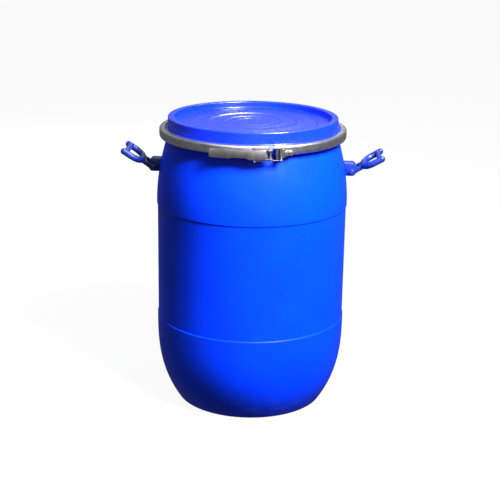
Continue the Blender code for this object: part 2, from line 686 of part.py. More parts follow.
def build_handle_lug(name, side):
    """Lug on the wall: a block whose back follows the shoulder with a small gap."""
    pivot = pivot_place(side)
    depth = PIVOT_OUT + LUG_HALF
    outline = [
        (-depth, -LUG_DOWN), (LUG_OUT - LUG_BEVEL, -LUG_DOWN), (LUG_OUT, -LUG_DOWN + LUG_BEVEL),
        (LUG_OUT, LUG_UP - LUG_BEVEL), (LUG_OUT - LUG_BEVEL, LUG_UP), (-depth, LUG_UP)]
    frame = Matrix.Translation(pivot) @ Matrix.Diagonal((side, 1, 1, 1)) @ cross_frame(0)
    lug = prism(name, outline, -LUG_HALF, LUG_HALF, frame)
    low, high = pivot.z - LUG_DOWN - 0.01, pivot.z + LUG_UP + 0.01
    heights = [low + (high - low) * i / 6 for i in range(7)]
    wall = [(0, low)] + [(wall_radius(z) + GAP, z) for z in heights] + [(0, high)]
    bore = HANDLE_PIN_R + GAP
    hole = rod("hole", frame, [(-0.03, bore), (0.03, bore)], 16)
    combine(lug, [turned("wall", wall), hole], "DIFFERENCE")
    return handle_blue(on_axis(lug, pivot))


def build_handle_pin(name, side):
    pivot = pivot_place(side)
    stations = pin_stations(LUG_HALF + 2 * GAP + EYE_THICK, HANDLE_PIN_R, 0.0054, HANDLE_PIN_HEAD)
    pin = rod(name, Matrix.Translation(pivot) @ cross_frame(0), stations, 16)
    return handle_blue(on_axis(pin, pivot))


def clear_scene():
    for piece in list(bpy.data.objects):
        bpy.data.objects.remove(piece)


def build():
    clear_scene()
    build_drum_body()
    build_lid()
    build_lid_gasket()
    build_locking_ring()
    build_latch_base()
    build_latch_lever()
    build_lever_pin()
    build_latch_link()
    build_link_pin()
    build_keeper()
    for number, angle in enumerate(BASE_RIVETS, 1):
        build_rivet("latch_base_rivet_%d" % number, angle)
    for number, angle in enumerate(KEEPER_RIVETS, 1):
        build_rivet("keeper_rivet_%d" % number, angle)
    for word, side in (("left", -1), ("right", 1)):
        build_handle("handle_" + word, side)
        build_handle_lug("handle_lug_" + word, side)
        build_handle_pin("handle_pin_" + word, side)


build()
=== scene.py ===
"""Looks of a sixty-litre plastic open head drum.

It has a blow-moulded body, an overcap lid, a lever locking ring and two folding handles.

Metres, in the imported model's frame: the latch faces -Y and the handles lie on X.
Angles round the drum are in degrees from the front (-Y), positive towards +X.
"""
import math

import bpy
from mathutils import Matrix, Vector


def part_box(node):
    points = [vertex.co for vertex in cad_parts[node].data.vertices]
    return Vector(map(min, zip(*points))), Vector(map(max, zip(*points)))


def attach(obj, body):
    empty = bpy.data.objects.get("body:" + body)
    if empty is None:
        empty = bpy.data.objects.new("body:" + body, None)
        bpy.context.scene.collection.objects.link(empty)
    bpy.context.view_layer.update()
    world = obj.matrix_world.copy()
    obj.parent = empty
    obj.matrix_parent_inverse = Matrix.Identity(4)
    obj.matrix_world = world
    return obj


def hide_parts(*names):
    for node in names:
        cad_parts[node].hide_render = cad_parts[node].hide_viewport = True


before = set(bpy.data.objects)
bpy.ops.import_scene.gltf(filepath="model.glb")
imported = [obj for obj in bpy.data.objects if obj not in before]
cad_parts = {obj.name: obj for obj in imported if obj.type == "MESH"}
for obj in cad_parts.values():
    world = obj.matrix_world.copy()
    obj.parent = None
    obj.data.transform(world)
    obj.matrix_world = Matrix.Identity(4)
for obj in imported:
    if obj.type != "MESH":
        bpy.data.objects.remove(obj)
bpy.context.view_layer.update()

# ---- sizes read from the frame
DRUM_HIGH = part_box("drum_body")[1]
LID_LOW, LID_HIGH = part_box("lid")
RING_LOW, RING_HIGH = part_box("locking_ring")
GASKET_LOW, GASKET_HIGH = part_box("lid_gasket")
BAND_RADIUS = DRUM_HIGH.x          # lower and upper bands of the wall
LIP_TOP = DRUM_HIGH.z
LID_TOP = LID_HIGH.z
LID_EDGE = LID_HIGH.x              # lid's clamping flange
RING_RADIUS = RING_HIGH.y
RING_TOP, RING_BOTTOM = RING_HIGH.z, RING_LOW.z
GAP = 0.0003                       # between pieces that touch

# ---- drum body
STEP = 0.0016                      # the bands stand this far proud of the middle panel
WALL = 0.0036
FLOOR = 0.0045
HEEL_HEIGHT = 0.178
HEEL_INSET = 0.043
HEEL_POWER = 2.8
LOWER_LEDGE = 0.1827
UPPER_LEDGE_DROP = 0.148           # flange top down to the ledge under the upper band
LEDGE = 0.0012                     # half height of a ledge
SHOULDER_DROP = 0.142
SHOULDER_POWER = 1.9
NECK_RADIUS = 0.1748
NECK_DROP = 0.0122                 # flange top down to the straight neck
FLANGE_REACH = 0.0095              # neck to the flange's outer edge
FLANGE_PLATE = 0.0035
FLANGE_DEPTH = 0.0078
SKIRT = 0.0033
LIP_HEIGHT = 0.0218                # mouth lip above the flange
LIP_INSET = 0.0055
LIP_WALL = 0.0045
PAD_RADIUS = 0.045
GROOVE_RADIUS = 0.115
GROOVE = 0.004
FLOOR_ROUND = 0.001                # corners of the pad, the groove and the inside floor

PANEL_RADIUS = BAND_RADIUS - STEP
FLANGE_TOP = LIP_TOP - LIP_HEIGHT
UPPER_LEDGE = FLANGE_TOP - UPPER_LEDGE_DROP
SHOULDER_START = FLANGE_TOP - SHOULDER_DROP
NECK_START = FLANGE_TOP - NECK_DROP
FLANGE_RADIUS = NECK_RADIUS + FLANGE_REACH
FLANGE_UNDER = FLANGE_TOP - FLANGE_PLATE
FLANGE_BOTTOM = FLANGE_TOP - FLANGE_DEPTH
LIP_OUTER = NECK_RADIUS - LIP_INSET
LIP_INNER = LIP_OUTER - LIP_WALL

# ---- lid
LID_WALL = 0.0026
LID_LIP_CLEAR = 0.0015             # mouth lip to the lid's wall
LID_INNER_CLEAR = 0.0029           # mouth lip to the inner wall of the lid's channel
LID_ROOF = 0.0030                  # thickness over the channel and of the flange's plate
LID_FLANGE_DEPTH = 0.0081
RIM_ROUND = 0.0024
RECESS_DEPTH = 0.0120
PANEL_DROP = 0.0012                # the outer panel lies this much lower
PANEL_STEP_RADIUS = 0.130
PANEL_STEP_RUN = 0.0012            # half the width of the step
# raised rings of the panel: crest radius, height, run of the steeper inner side and of the outer side
PANEL_RINGS = (
    (0.0355, 0.0008, 0.0032, 0.0080), (0.0575, 0.0010, 0.0038, 0.0100), (0.0910, 0.0018, 0.0058, 0.0170))

CHANNEL_OUTER = LIP_OUTER + LID_LIP_CLEAR
CHANNEL_INNER = LIP_INNER - LID_INNER_CLEAR
CHANNEL_TOP = LID_TOP - LID_ROOF
RIM_OUTER = CHANNEL_OUTER + LID_WALL
RIM_INNER = CHANNEL_INNER - LID_WALL
PANEL = LID_TOP - RECESS_DEPTH     # top of the recessed panel
OUTER_PANEL = PANEL - PANEL_DROP
LID_FLANGE_TOP = FLANGE_TOP + GAP + LID_FLANGE_DEPTH

# ---- locking ring and latch
SHEET = 0.0013
RING_ROUND = 0.0075
LIP_REACH = 0.0055                 # the ring's lips over the flanges
CUT_ROUND = 0.0006                 # cut edges of the strip
RING_GAP = (11.2, 15.7)
LATCH_DROP = 0.0050                # middle of the latch below the middle of the ring
LATCH_Z = (RING_TOP + RING_BOTTOM) / 2 - LATCH_DROP
RIVET_ANGLES = (1.4, 4.8, 21.6, 24.4)
RIVET_HOLE = 0.0023
DRILL_LENGTH = 0.012

TURNED_STEPS = 224                 # facets round the turned pieces
RING_STEPS = 240
GASKET_STEPS = 128
FILLET_STEPS = 4


# ---- modelling by hand, in steps
def start_clean():
    """Leaves edit mode and deselects everything."""
    if bpy.context.mode != "OBJECT":
        bpy.ops.object.mode_set(mode="OBJECT")
    bpy.ops.object.select_all(action="DESELECT")


def pick(piece):
    start_clean()
    piece.select_set(True)
    bpy.context.view_layer.objects.active = piece


def named(name):
    piece = bpy.context.object
    piece.name = name
    piece.data.name = name
    return piece


def drawn(name, points):
    """A closed wire through the points, drawn one corner at a time and left in edit mode, all selected."""
    start_clean()
    bpy.ops.mesh.primitive_plane_add(size=0.001, location=(0, 0, 0))
    piece = named(name)
    bpy.ops.object.mode_set(mode="EDIT")
    bpy.ops.mesh.merge(type="CENTER")
    bpy.ops.transform.translate(value=points[0])
    for here, there in zip(points, points[1:]):
        step = Vector(there) - Vector(here)
        bpy.ops.mesh.extrude_region_move(TRANSFORM_OT_translate={"value": step})
    bpy.ops.object.mode_set(mode="OBJECT")
    for vertex in piece.data.vertices:
        vertex.select = vertex.index in (0, len(points) - 1)
    bpy.ops.object.mode_set(mode="EDIT")
    bpy.ops.mesh.select_mode(type="VERT")
    bpy.ops.mesh.edge_face_add()
    bpy.ops.mesh.select_all(action="SELECT")
    return piece


def closed_skin():
    """Merges seams and turns all faces out, in edit mode, then leaves it."""
    bpy.ops.mesh.select_all(action="SELECT")
    bpy.ops.mesh.remove_doubles(threshold=0.000004)
    bpy.ops.mesh.normals_make_consistent(inside=False)
    bpy.ops.object.mode_set(mode="OBJECT")


def smooth(piece, angle=35):
    pick(piece)
    bpy.ops.object.shade_smooth_by_angle(angle=math.radians(angle))
    return piece


def fillet(before, corner, after, radius):
    """Points of a round in place of one corner of an outline."""
    corner = Vector(corner)
    to_before, to_after = Vector(before) - corner, Vector(after) - corner
    turn = to_before.angle(to_after)
    reach = min(radius / math.tan(turn / 2), 0.48 * to_before.length, 0.48 * to_after.length)
    start, end = corner + to_before.normalized() * reach, corner + to_after.normalized() * reach
    points = []
    for i in range(FILLET_STEPS + 1):
        t = i / FILLET_STEPS
        points.append(start * (1 - t) ** 2 + corner * 2 * t * (1 - t) + end * t ** 2)
    return points


def rounded(corners):
    """An outline of (x, y) points whose corners of (x, y, radius) are rounded."""
    points = []
    for i, corner in enumerate(corners):
        if len(corner) == 2:
            points.append(Vector(corner))
            continue
        before, after = corners[i - 1][:2], corners[(i + 1) % len(corners)][:2]
        points += fillet(before, corner[:2], after, corner[2])
    return points


def turned(name, outline, steps=TURNED_STEPS):
    """Spins a closed (radius, height) outline round the drum's axis."""
    piece = drawn(name, [(0, -r, z) for r, z in outline])
    bpy.ops.mesh.spin(steps=steps, angle=math.tau, center=(0, 0, 0), axis=(0, 0, 1))
    closed_skin()
    drop_axis_waste(piece)
    return smooth(piece)


def drop_axis_waste(piece):
    """Removes what spinning a centre line leaves: faces of no area and the loose line itself."""
    pick(piece)
    bpy.ops.object.mode_set(mode="EDIT")
    bpy.ops.mesh.select_all(action="SELECT")
    bpy.ops.mesh.dissolve_degenerate(threshold=0.000002)
    bpy.ops.mesh.select_all(action="SELECT")
    bpy.ops.mesh.delete_loose(use_verts=True, use_edges=True, use_faces=False)
    bpy.ops.object.mode_set(mode="OBJECT")


def part_turned(name, outline, start, end, steps):
    """Spins a filled (radius, height) outline round the drum from one angle to another."""
    a = math.radians(start)
    piece = drawn(name, [(r * math.sin(a), -r * math.cos(a), z) for r, z in outline])
    bpy.ops.mesh.spin(steps=steps, angle=math.radians(end - start), center=(0, 0, 0), axis=(0, 0, -1))
    bpy.ops.mesh.select_all(action="DESELECT")
    bpy.ops.mesh.select_non_manifold()
    bpy.ops.mesh.edge_face_add()
    closed_skin()
    return smooth(piece)


def apply_all(piece):
    pick(piece)
    for modifier in list(piece.modifiers):
        bpy.ops.object.modifier_apply(modifier=modifier.name)
    return piece


def merged_copy(node_name, name):
    """A copy of a CAD node with its loose triangles joined and its flat faces made whole."""
    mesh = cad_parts[node_name].data.copy()
    mesh.name = name
    piece = bpy.data.objects.new(name, mesh)
    bpy.context.scene.collection.objects.link(piece)
    pick(piece)
    bpy.ops.object.mode_set(mode="EDIT")
    bpy.ops.mesh.select_all(action="SELECT")
    bpy.ops.mesh.remove_doubles(threshold=0.000005)
    bpy.ops.mesh.dissolve_limited(angle_limit=math.radians(2))
    bpy.ops.object.mode_set(mode="OBJECT")
    return piece


def edged(node_name, name, width, segments=3, angle=28):
    """A piece cut or pressed from flat stock: its sharp edges rounded by a small width."""
    piece = merged_copy(node_name, name)
    bevel = piece.modifiers.new("Edge", "BEVEL")
    bevel.width = width
    bevel.segments = segments
    bevel.limit_method = "ANGLE"
    bevel.angle_limit = math.radians(angle)
    bevel.use_clamp_overlap = True
    apply_all(piece)
    return smooth(piece, 30)


def moulded(node_name, name, grain=0.0006, passes=14):
    """A piece moulded in one, whose arms and eyes run into each other with soft fillets."""
    piece = merged_copy(node_name, name)
    skin = piece.modifiers.new("Skin", "REMESH")
    skin.mode = "VOXEL"
    skin.voxel_size = grain
    soften = piece.modifiers.new("Soften", "SMOOTH")
    soften.factor = 0.5
    soften.iterations = passes
    apply_all(piece)
    bpy.ops.object.shade_smooth()
    return piece


def cut(piece, cutters):
    """Takes the cutters out of a piece."""
    for cutter in cutters:
        pick(piece)
        hole = piece.modifiers.new("Hole", "BOOLEAN")
        hole.operation = "DIFFERENCE"
        hole.solver = "EXACT"
        hole.object = cutter
        bpy.ops.object.modifier_apply(modifier=hole.name)
        bpy.data.objects.remove(cutter)
    return smooth(piece)


def drill(angle, radius, reach, height):
    """A round cutter that points out from the drum's axis."""
    a = math.radians(angle)
    start_clean()
    bpy.ops.mesh.primitive_cylinder_add(
        vertices=24, radius=radius, depth=DRILL_LENGTH,
        location=(reach * math.sin(a), -reach * math.cos(a), height), rotation=(math.pi / 2, 0, a))
    bpy.ops.object.transform_apply()
    return bpy.context.object


def fit(piece, body, node, material):
    """Gives a piece its body and its finish, and hides the CAD node it stands for."""
    piece.data.materials.clear()
    piece.data.materials.append(material)
    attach(piece, body)
    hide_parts(node)
    return piece


# ---- materials
def linear(hex_colour):
    """An sRGB hex colour as linear red, green, blue and alpha."""
    channels = [int(hex_colour[i:i + 2], 16) / 255 for i in (0, 2, 4)]
    return [c / 12.92 if c <= 0.04045 else ((c + 0.055) / 1.055) ** 2.4 for c in channels] + [1.0]


def node(tree, kind, links=None, stops=(), **settings):
    """Adds a node. Links are {input: socket}, stops are a ramp's (place, colour) pairs.

    Settings are its properties or its inputs' values, by name.
    """
    made = tree.nodes.new(kind)
    for key, value in settings.items():
        if hasattr(made, key):
            setattr(made, key, value)
        else:
            made.inputs[key].default_value = value
    for target, source in (links or {}).items():
        tree.links.new(source, made.inputs[target])
    for _ in stops[2:]:
        made.color_ramp.elements.new(0.5)
    for i, (place, colour) in enumerate(stops):
        made.color_ramp.elements[i].position = place
        made.color_ramp.elements[i].color = colour
    return made


def new_material(name, colour, roughness, metallic=0.0, ior=None):
    material = bpy.data.materials.new(name)
    material.use_nodes = True
    shader = material.node_tree.nodes["Principled BSDF"]
    shader.inputs["Base Color"].default_value = linear(colour)
    shader.inputs["Roughness"].default_value = roughness
    shader.inputs["Metallic"].default_value = metallic
    if ior:
        shader.inputs["IOR"].default_value = ior
    return material, material.node_tree, shader


def per_mm(size_mm):
    """Scale of a noise whose features are about this many millimetres."""
    return 1000.0 / size_mm


def grey(value):
    return (value, value, value, 1.0)


def edge_mask(tree, start, end):
    """One on outer edges and ridges, nought on flat faces."""
    shape = node(tree, "ShaderNodeNewGeometry")
    mask = node(
        tree, "ShaderNodeValToRGB", {"Fac": shape.outputs["Pointiness"]},
        stops=((start, grey(0.0)), (end, grey(1.0))))
    return mask.outputs["Color"]


def dress(tree, shader, colour, gloss, relief):
    """Gives a shader its colour, its patchy gloss and its fine relief."""
    tree.links.new(colour.outputs["Color"], shader.inputs["Base Color"])
    tree.links.new(gloss.outputs["Color"], shader.inputs["Roughness"])
    tree.links.new(relief.outputs["Normal"], shader.inputs["Normal"])


def moulded_polyethylene():
    """Blow-moulded high density polyethylene: satin azure blue, soft ripple from the mould, light scuffs."""
    material, tree, shader = new_material("Blow moulded polyethylene", "0034EE", 0.40, ior=1.54)
    shader.inputs["Specular IOR Level"].default_value = 0.09
    place = node(tree, "ShaderNodeTexCoord").outputs["Object"]
    cloud = node(tree, "ShaderNodeTexNoise", {"Vector": place}, Scale=per_mm(90), Detail=3.0)
    base = node(
        tree, "ShaderNodeValToRGB", {"Fac": cloud.outputs["Fac"]},
        stops=((0.30, linear("0032E6")), (0.70, linear("0037F4"))))
    scuff = node(tree, "ShaderNodeTexNoise", {"Vector": place}, Scale=per_mm(14), Detail=8.0, Roughness=0.72)
    marks = node(
        tree, "ShaderNodeValToRGB", {"Fac": scuff.outputs["Fac"]},
        stops=((0.58, grey(0.0)), (0.80, grey(0.12))))
    scuffed = node(
        tree, "ShaderNodeMixRGB", {"Color1": base.outputs["Color"], "Fac": marks.outputs["Color"]},
        Color2=linear("3A5BE0"))
    rubbed = node(
        tree, "ShaderNodeMixRGB", {"Color1": scuffed.outputs["Color"], "Fac": edge_mask(tree, 0.52, 0.64)},
        Color2=linear("2F55E6"))
    gloss = node(
        tree, "ShaderNodeValToRGB", {"Fac": scuff.outputs["Fac"]},
        stops=((0.35, grey(0.36)), (0.75, grey(0.47))))
    peel = node(tree, "ShaderNodeTexNoise", {"Vector": place}, Scale=per_mm(5), Detail=2.0)
    wave = node(tree, "ShaderNodeTexNoise", {"Vector": place}, Scale=per_mm(60), Detail=1.0)
    fine = node(tree, "ShaderNodeBump", {"Height": peel.outputs["Fac"]}, Strength=0.10, Distance=0.0004)
    coarse = node(
        tree, "ShaderNodeBump", {"Height": wave.outputs["Fac"], "Normal": fine.outputs["Normal"]},
        Strength=0.25, Distance=0.0012)
    dress(tree, shader, heel_scuffs(tree, place, rubbed), gloss, coarse)
    return material


def heel_scuffs(tree, place, colour):
    """Chalky rub marks where the drum is rolled on its heel, gone above about 60 mm."""
    height = node(tree, "ShaderNodeSeparateXYZ", {"Vector": place})
    low = node(
        tree, "ShaderNodeValToRGB", {"Fac": height.outputs["Z"]},
        stops=((0.004, grey(0.55)), (0.062, grey(0.0))))
    squash = node(tree, "ShaderNodeMapping", {"Vector": place}, Scale=(1.0, 1.0, 3.2))
    rub = node(
        tree, "ShaderNodeTexNoise", {"Vector": squash.outputs["Vector"]},
        Scale=per_mm(22), Detail=9.0, Roughness=0.78)
    patches = node(
        tree, "ShaderNodeValToRGB", {"Fac": rub.outputs["Fac"]},
        stops=((0.50, grey(0.0)), (0.68, grey(1.0))))
    amount = node(
        tree, "ShaderNodeMixRGB", {"Color1": low.outputs["Color"], "Color2": patches.outputs["Color"]},
        Fac=1.0, blend_type="MULTIPLY")
    return node(
        tree, "ShaderNodeMixRGB", {"Color1": colour.outputs["Color"], "Fac": amount.outputs["Color"]},
        Color2=linear("5F74C8"))


def lid_polyethylene():
    """Injection-moulded polyethylene: glossier royal blue with faint flow marks and hairline scratches."""
    material, tree, shader = new_material("Injection moulded polyethylene", "0A2EEA", 0.24, ior=1.54)
    place = node(tree, "ShaderNodeTexCoord").outputs["Object"]
    cloud = node(tree, "ShaderNodeTexNoise", {"Vector": place}, Scale=per_mm(45), Detail=4.0)
    base = node(
        tree, "ShaderNodeValToRGB", {"Fac": cloud.outputs["Fac"]},
        stops=((0.30, linear("0523C2")), (0.70, linear("072AD6"))))
    colour = node(
        tree, "ShaderNodeMixRGB", {"Color1": base.outputs["Color"], "Fac": edge_mask(tree, 0.55, 0.72)},
        Color2=linear("3350F0"))
    rub = node(tree, "ShaderNodeTexNoise", {"Vector": place}, Scale=per_mm(9), Detail=7.0, Roughness=0.7)
    gloss = node(
        tree, "ShaderNodeValToRGB", {"Fac": rub.outputs["Fac"]},
        stops=((0.35, grey(0.22)), (0.75, grey(0.31))))
    wave = node(tree, "ShaderNodeTexNoise", {"Vector": place}, Scale=per_mm(70), Detail=0.0)
    bump = node(tree, "ShaderNodeBump", {"Height": wave.outputs["Fac"]}, Strength=0.6, Distance=0.0014)
    dress(tree, shader, colour, gloss, bump)
    return material


def handle_polyethylene():
    """Moulded handles and lugs: the darkest blue, semi-gloss, with a fine grain.

    The grain is drawn coarser than the real one so that it shows.
    """
    material, tree, shader = new_material("Moulded handle polyethylene", "0A298A", 0.32, ior=1.54)
    shader.inputs["Specular IOR Level"].default_value = 0.35
    place = node(tree, "ShaderNodeTexCoord").outputs["Object"]
    grain = node(tree, "ShaderNodeTexNoise", {"Vector": place}, Scale=per_mm(1.6), Detail=3.0)
    cloud = node(tree, "ShaderNodeTexNoise", {"Vector": place}, Scale=per_mm(12), Detail=3.0)
    base = node(
        tree, "ShaderNodeValToRGB", {"Fac": cloud.outputs["Fac"]},
        stops=((0.30, linear("061D68")), (0.70, linear("09257A"))))
    colour = node(
        tree, "ShaderNodeMixRGB", {"Color1": base.outputs["Color"], "Fac": edge_mask(tree, 0.64, 0.82)},
        Color2=linear("1A3896"))
    gloss = node(
        tree, "ShaderNodeValToRGB", {"Fac": cloud.outputs["Fac"]},
        stops=((0.3, grey(0.36)), (0.7, grey(0.46))))
    bump = node(tree, "ShaderNodeBump", {"Height": grain.outputs["Fac"]}, Strength=0.06, Distance=0.0002)
    dress(tree, shader, colour, gloss, bump)
    return material


def rolled_steel():
    """Galvanised strip rolled into the ring: satin zinc grey with lines that run round it.

    The lines are drawn coarser than the real ones so that they show.
    """
    material, tree, shader = new_material("Galvanised rolled steel", "C4C6CA", 0.30, metallic=1.0)
    place = node(tree, "ShaderNodeTexCoord").outputs["Object"]
    cloud = node(tree, "ShaderNodeTexNoise", {"Vector": place}, Scale=per_mm(18), Detail=5.0)
    base = node(
        tree, "ShaderNodeValToRGB", {"Fac": cloud.outputs["Fac"]},
        stops=((0.30, linear("BCBEC4")), (0.70, linear("DADBDF"))))
    spangle = node(tree, "ShaderNodeTexVoronoi", {"Vector": place}, Scale=per_mm(6))
    flakes = node(
        tree, "ShaderNodeValToRGB", {"Fac": spangle.outputs["Color"]},
        stops=((0.2, grey(0.86)), (0.8, grey(1.0))))
    zinc = node(
        tree, "ShaderNodeMixRGB", {"Color1": base.outputs["Color"], "Color2": flakes.outputs["Color"]},
        Fac=1.0, blend_type="MULTIPLY")
    colour = node(
        tree, "ShaderNodeMixRGB", {"Color1": zinc.outputs["Color"], "Fac": edge_mask(tree, 0.53, 0.66)},
        Color2=linear("E4E4E6"))
    split = node(tree, "ShaderNodeSeparateXYZ", {"Vector": place})
    lines = node(tree, "ShaderNodeCombineXYZ", {"Z": split.outputs["Z"]})
    band = node(
        tree, "ShaderNodeTexNoise", {"Vector": lines.outputs["Vector"]}, Scale=per_mm(1.2), Detail=3.0)
    gloss = node(
        tree, "ShaderNodeValToRGB", {"Fac": band.outputs["Fac"]},
        stops=((0.3, grey(0.24)), (0.7, grey(0.38))))
    bump = node(tree, "ShaderNodeBump", {"Height": band.outputs["Fac"]}, Strength=0.15, Distance=0.0002)
    dress(tree, shader, colour, gloss, bump)
    return material


def pressed_steel(name, light, dark, smoothest):
    """Zinc-plated pressed steel of the latch: duller grey than the ring, with a soft mottle."""
    material, tree, shader = new_material(name, dark, smoothest, metallic=1.0)
    dullest = smoothest + 0.14
    place = node(tree, "ShaderNodeTexCoord").outputs["Object"]
    mottle = node(tree, "ShaderNodeTexNoise", {"Vector": place}, Scale=per_mm(4), Detail=6.0, Roughness=0.65)
    base = node(
        tree, "ShaderNodeValToRGB", {"Fac": mottle.outputs["Fac"]},
        stops=((0.30, linear(dark)), (0.70, linear(light))))
    colour = node(
        tree, "ShaderNodeMixRGB", {"Color1": base.outputs["Color"], "Fac": edge_mask(tree, 0.53, 0.68)},
        Color2=linear("BEBEC0"))
    gloss = node(
        tree, "ShaderNodeValToRGB", {"Fac": mottle.outputs["Fac"]},
        stops=((0.3, grey(smoothest)), (0.7, grey(dullest))))
    bump = node(tree, "ShaderNodeBump", {"Height": mottle.outputs["Fac"]}, Strength=0.10, Distance=0.0002)
    dress(tree, shader, colour, gloss, bump)
    return material


def foam_rubber():
    """Black foamed rubber of the gasket: matt, with small closed cells."""
    material, tree, shader = new_material("Foamed rubber", "141416", 0.85, ior=1.50)
    place = node(tree, "ShaderNodeTexCoord").outputs["Object"]
    cells = node(tree, "ShaderNodeTexVoronoi", {"Vector": place}, Scale=per_mm(0.9))
    base = node(
        tree, "ShaderNodeValToRGB", {"Fac": cells.outputs["Distance"]},
        stops=((0.1, linear("1C1C1E")), (0.6, linear("101012"))))
    bump = node(tree, "ShaderNodeBump", {"Height": cells.outputs["Distance"]}, Strength=0.4, Distance=0.0003)
    tree.links.new(base.outputs["Color"], shader.inputs["Base Color"])
    tree.links.new(bump.outputs["Normal"], shader.inputs["Normal"])
    return material


# ---- drum body
def wall_radius(z):
    """Outside of the drum's wall, without its ledges."""
    if z < HEEL_HEIGHT:
        return BAND_RADIUS - HEEL_INSET * ((HEEL_HEIGHT - z) / HEEL_HEIGHT) ** HEEL_POWER
    if LOWER_LEDGE < z < UPPER_LEDGE:
        return PANEL_RADIUS
    if z <= SHOULDER_START:
        return BAND_RADIUS
    run = min((z - SHOULDER_START) / (NECK_START - SHOULDER_START), 1)
    return BAND_RADIUS - (BAND_RADIUS - NECK_RADIUS) * run ** SHOULDER_POWER


def heights(low, high, count, crowd=1.0):
    return [low + (high - low) * (i / count) ** crowd for i in range(count + 1)]


def drum_outline():
    base = [
        (0, 0), (PAD_RADIUS, 0, FLOOR_ROUND), (PAD_RADIUS + GROOVE, GROOVE, FLOOR_ROUND),
        (GROOVE_RADIUS, GROOVE, FLOOR_ROUND), (GROOVE_RADIUS + GROOVE, 0, FLOOR_ROUND)]
    heel = [(wall_radius(z), z) for z in heights(0, HEEL_HEIGHT, 30, 1.35)]
    heel[0] = (*heel[0], 0.003)
    ledges = [
        (BAND_RADIUS, LOWER_LEDGE - LEDGE, 0.0009), (PANEL_RADIUS, LOWER_LEDGE + LEDGE, 0.0009),
        (PANEL_RADIUS, UPPER_LEDGE - LEDGE, 0.0009), (BAND_RADIUS, UPPER_LEDGE + LEDGE, 0.0009)]
    shoulder = [(wall_radius(z), z) for z in heights(SHOULDER_START, NECK_START, 28)]
    skirt_inner = FLANGE_RADIUS - SKIRT
    mouth = [
        (NECK_RADIUS, FLANGE_UNDER, 0.001), (skirt_inner, FLANGE_UNDER, 0.0008),
        (skirt_inner, FLANGE_BOTTOM, 0.0008), (FLANGE_RADIUS, FLANGE_BOTTOM, 0.0024),
        (FLANGE_RADIUS, FLANGE_TOP, 0.0004), (LIP_OUTER, FLANGE_TOP, 0.0006),
        (LIP_OUTER, LIP_TOP, 0.0012), (LIP_INNER, LIP_TOP, 0.0012),
        (LIP_INNER, FLANGE_UNDER, 0.003), (NECK_RADIUS - WALL, NECK_START, 0.003)]
    inside_shoulder = [(wall_radius(z) - WALL, z) for z in heights(SHOULDER_START, NECK_START, 16)[:-1]]
    inside_heel = [(wall_radius(z) - WALL, z) for z in heights(FLOOR, HEEL_HEIGHT, 18, 1.35)]
    floor = [
        (GROOVE_RADIUS + GROOVE, FLOOR, FLOOR_ROUND), (GROOVE_RADIUS, FLOOR + GROOVE, FLOOR_ROUND),
        (PAD_RADIUS + GROOVE, FLOOR + GROOVE, FLOOR_ROUND), (PAD_RADIUS, FLOOR, FLOOR_ROUND), (0, FLOOR)]
    inside = inside_shoulder[::-1] + inside_heel[::-1] + floor
    return rounded(base + heel + ledges + shoulder + mouth + inside)


# ---- lid and gasket
def lid_outline():
    panel = [(0, PANEL)]
    for radius, height, inner, outer in PANEL_RINGS:
        panel += [
            (radius - inner, PANEL, 0.006), (radius, PANEL + height, 0.009), (radius + outer, PANEL, 0.020)]
    recess = [
        (PANEL_STEP_RADIUS - PANEL_STEP_RUN, PANEL, 0.002),
        (PANEL_STEP_RADIUS + PANEL_STEP_RUN, OUTER_PANEL, 0.002),
        (RIM_INNER, OUTER_PANEL, 0.003)]
    rim = [
        (RIM_INNER, LID_TOP, RIM_ROUND), (RIM_OUTER - 0.0006, LID_TOP, RIM_ROUND),
        (RIM_OUTER, LID_FLANGE_TOP, 0.002), (LID_EDGE, LID_FLANGE_TOP, 0.0024), (LID_EDGE, LID_LOW.z, 0.0004)]
    skirt_inner, plate = LID_EDGE - SKIRT, LID_FLANGE_TOP - LID_ROOF
    under = OUTER_PANEL - LID_WALL
    underside = [
        (skirt_inner, LID_LOW.z, 0.0004), (skirt_inner, plate, 0.0008), (CHANNEL_OUTER, plate, 0.0008),
        (CHANNEL_OUTER, CHANNEL_TOP, 0.0004), (CHANNEL_INNER, CHANNEL_TOP, 0.0004),
        (CHANNEL_INNER, under, 0.0012), (0, under)]
    return rounded(panel + recess + rim + underside)


def gasket_outline():
    low, high = GASKET_LOW.z, GASKET_HIGH.z
    inner, outer = CHANNEL_INNER + GAP, GASKET_HIGH.x
    corner = 0.0016
    return rounded([
        (inner, low, corner), (outer, low, corner), (outer, high, corner), (inner, high, corner)])


# ---- locking ring
def ring_outline():
    upper, lower = LID_EDGE - LIP_REACH, FLANGE_RADIUS - LIP_REACH
    bore = RING_ROUND - SHEET
    out, inner = RING_RADIUS, RING_RADIUS - SHEET
    return rounded([
        (upper, RING_TOP, CUT_ROUND), (out, RING_TOP, RING_ROUND), (out, RING_BOTTOM, RING_ROUND),
        (lower, RING_BOTTOM, CUT_ROUND), (lower, RING_BOTTOM + SHEET, CUT_ROUND),
        (inner, RING_BOTTOM + SHEET, bore), (inner, RING_TOP - SHEET, bore),
        (upper, RING_TOP - SHEET, CUT_ROUND)])


# ---- stage, light and camera
CAMERA_AZIMUTH = 2.5
CAMERA_DISTANCE = 2.3960           # along the floor, from the drum's axis
CAMERA_HEIGHT = 1.0582
CAMERA_ASIDE = -0.0024
CAMERA_PITCH = 17.264
CAMERA_ROLL = 0.868
CAMERA_LENS = 86.05
LIGHT_AIM = Vector((0, 0, 0.32))


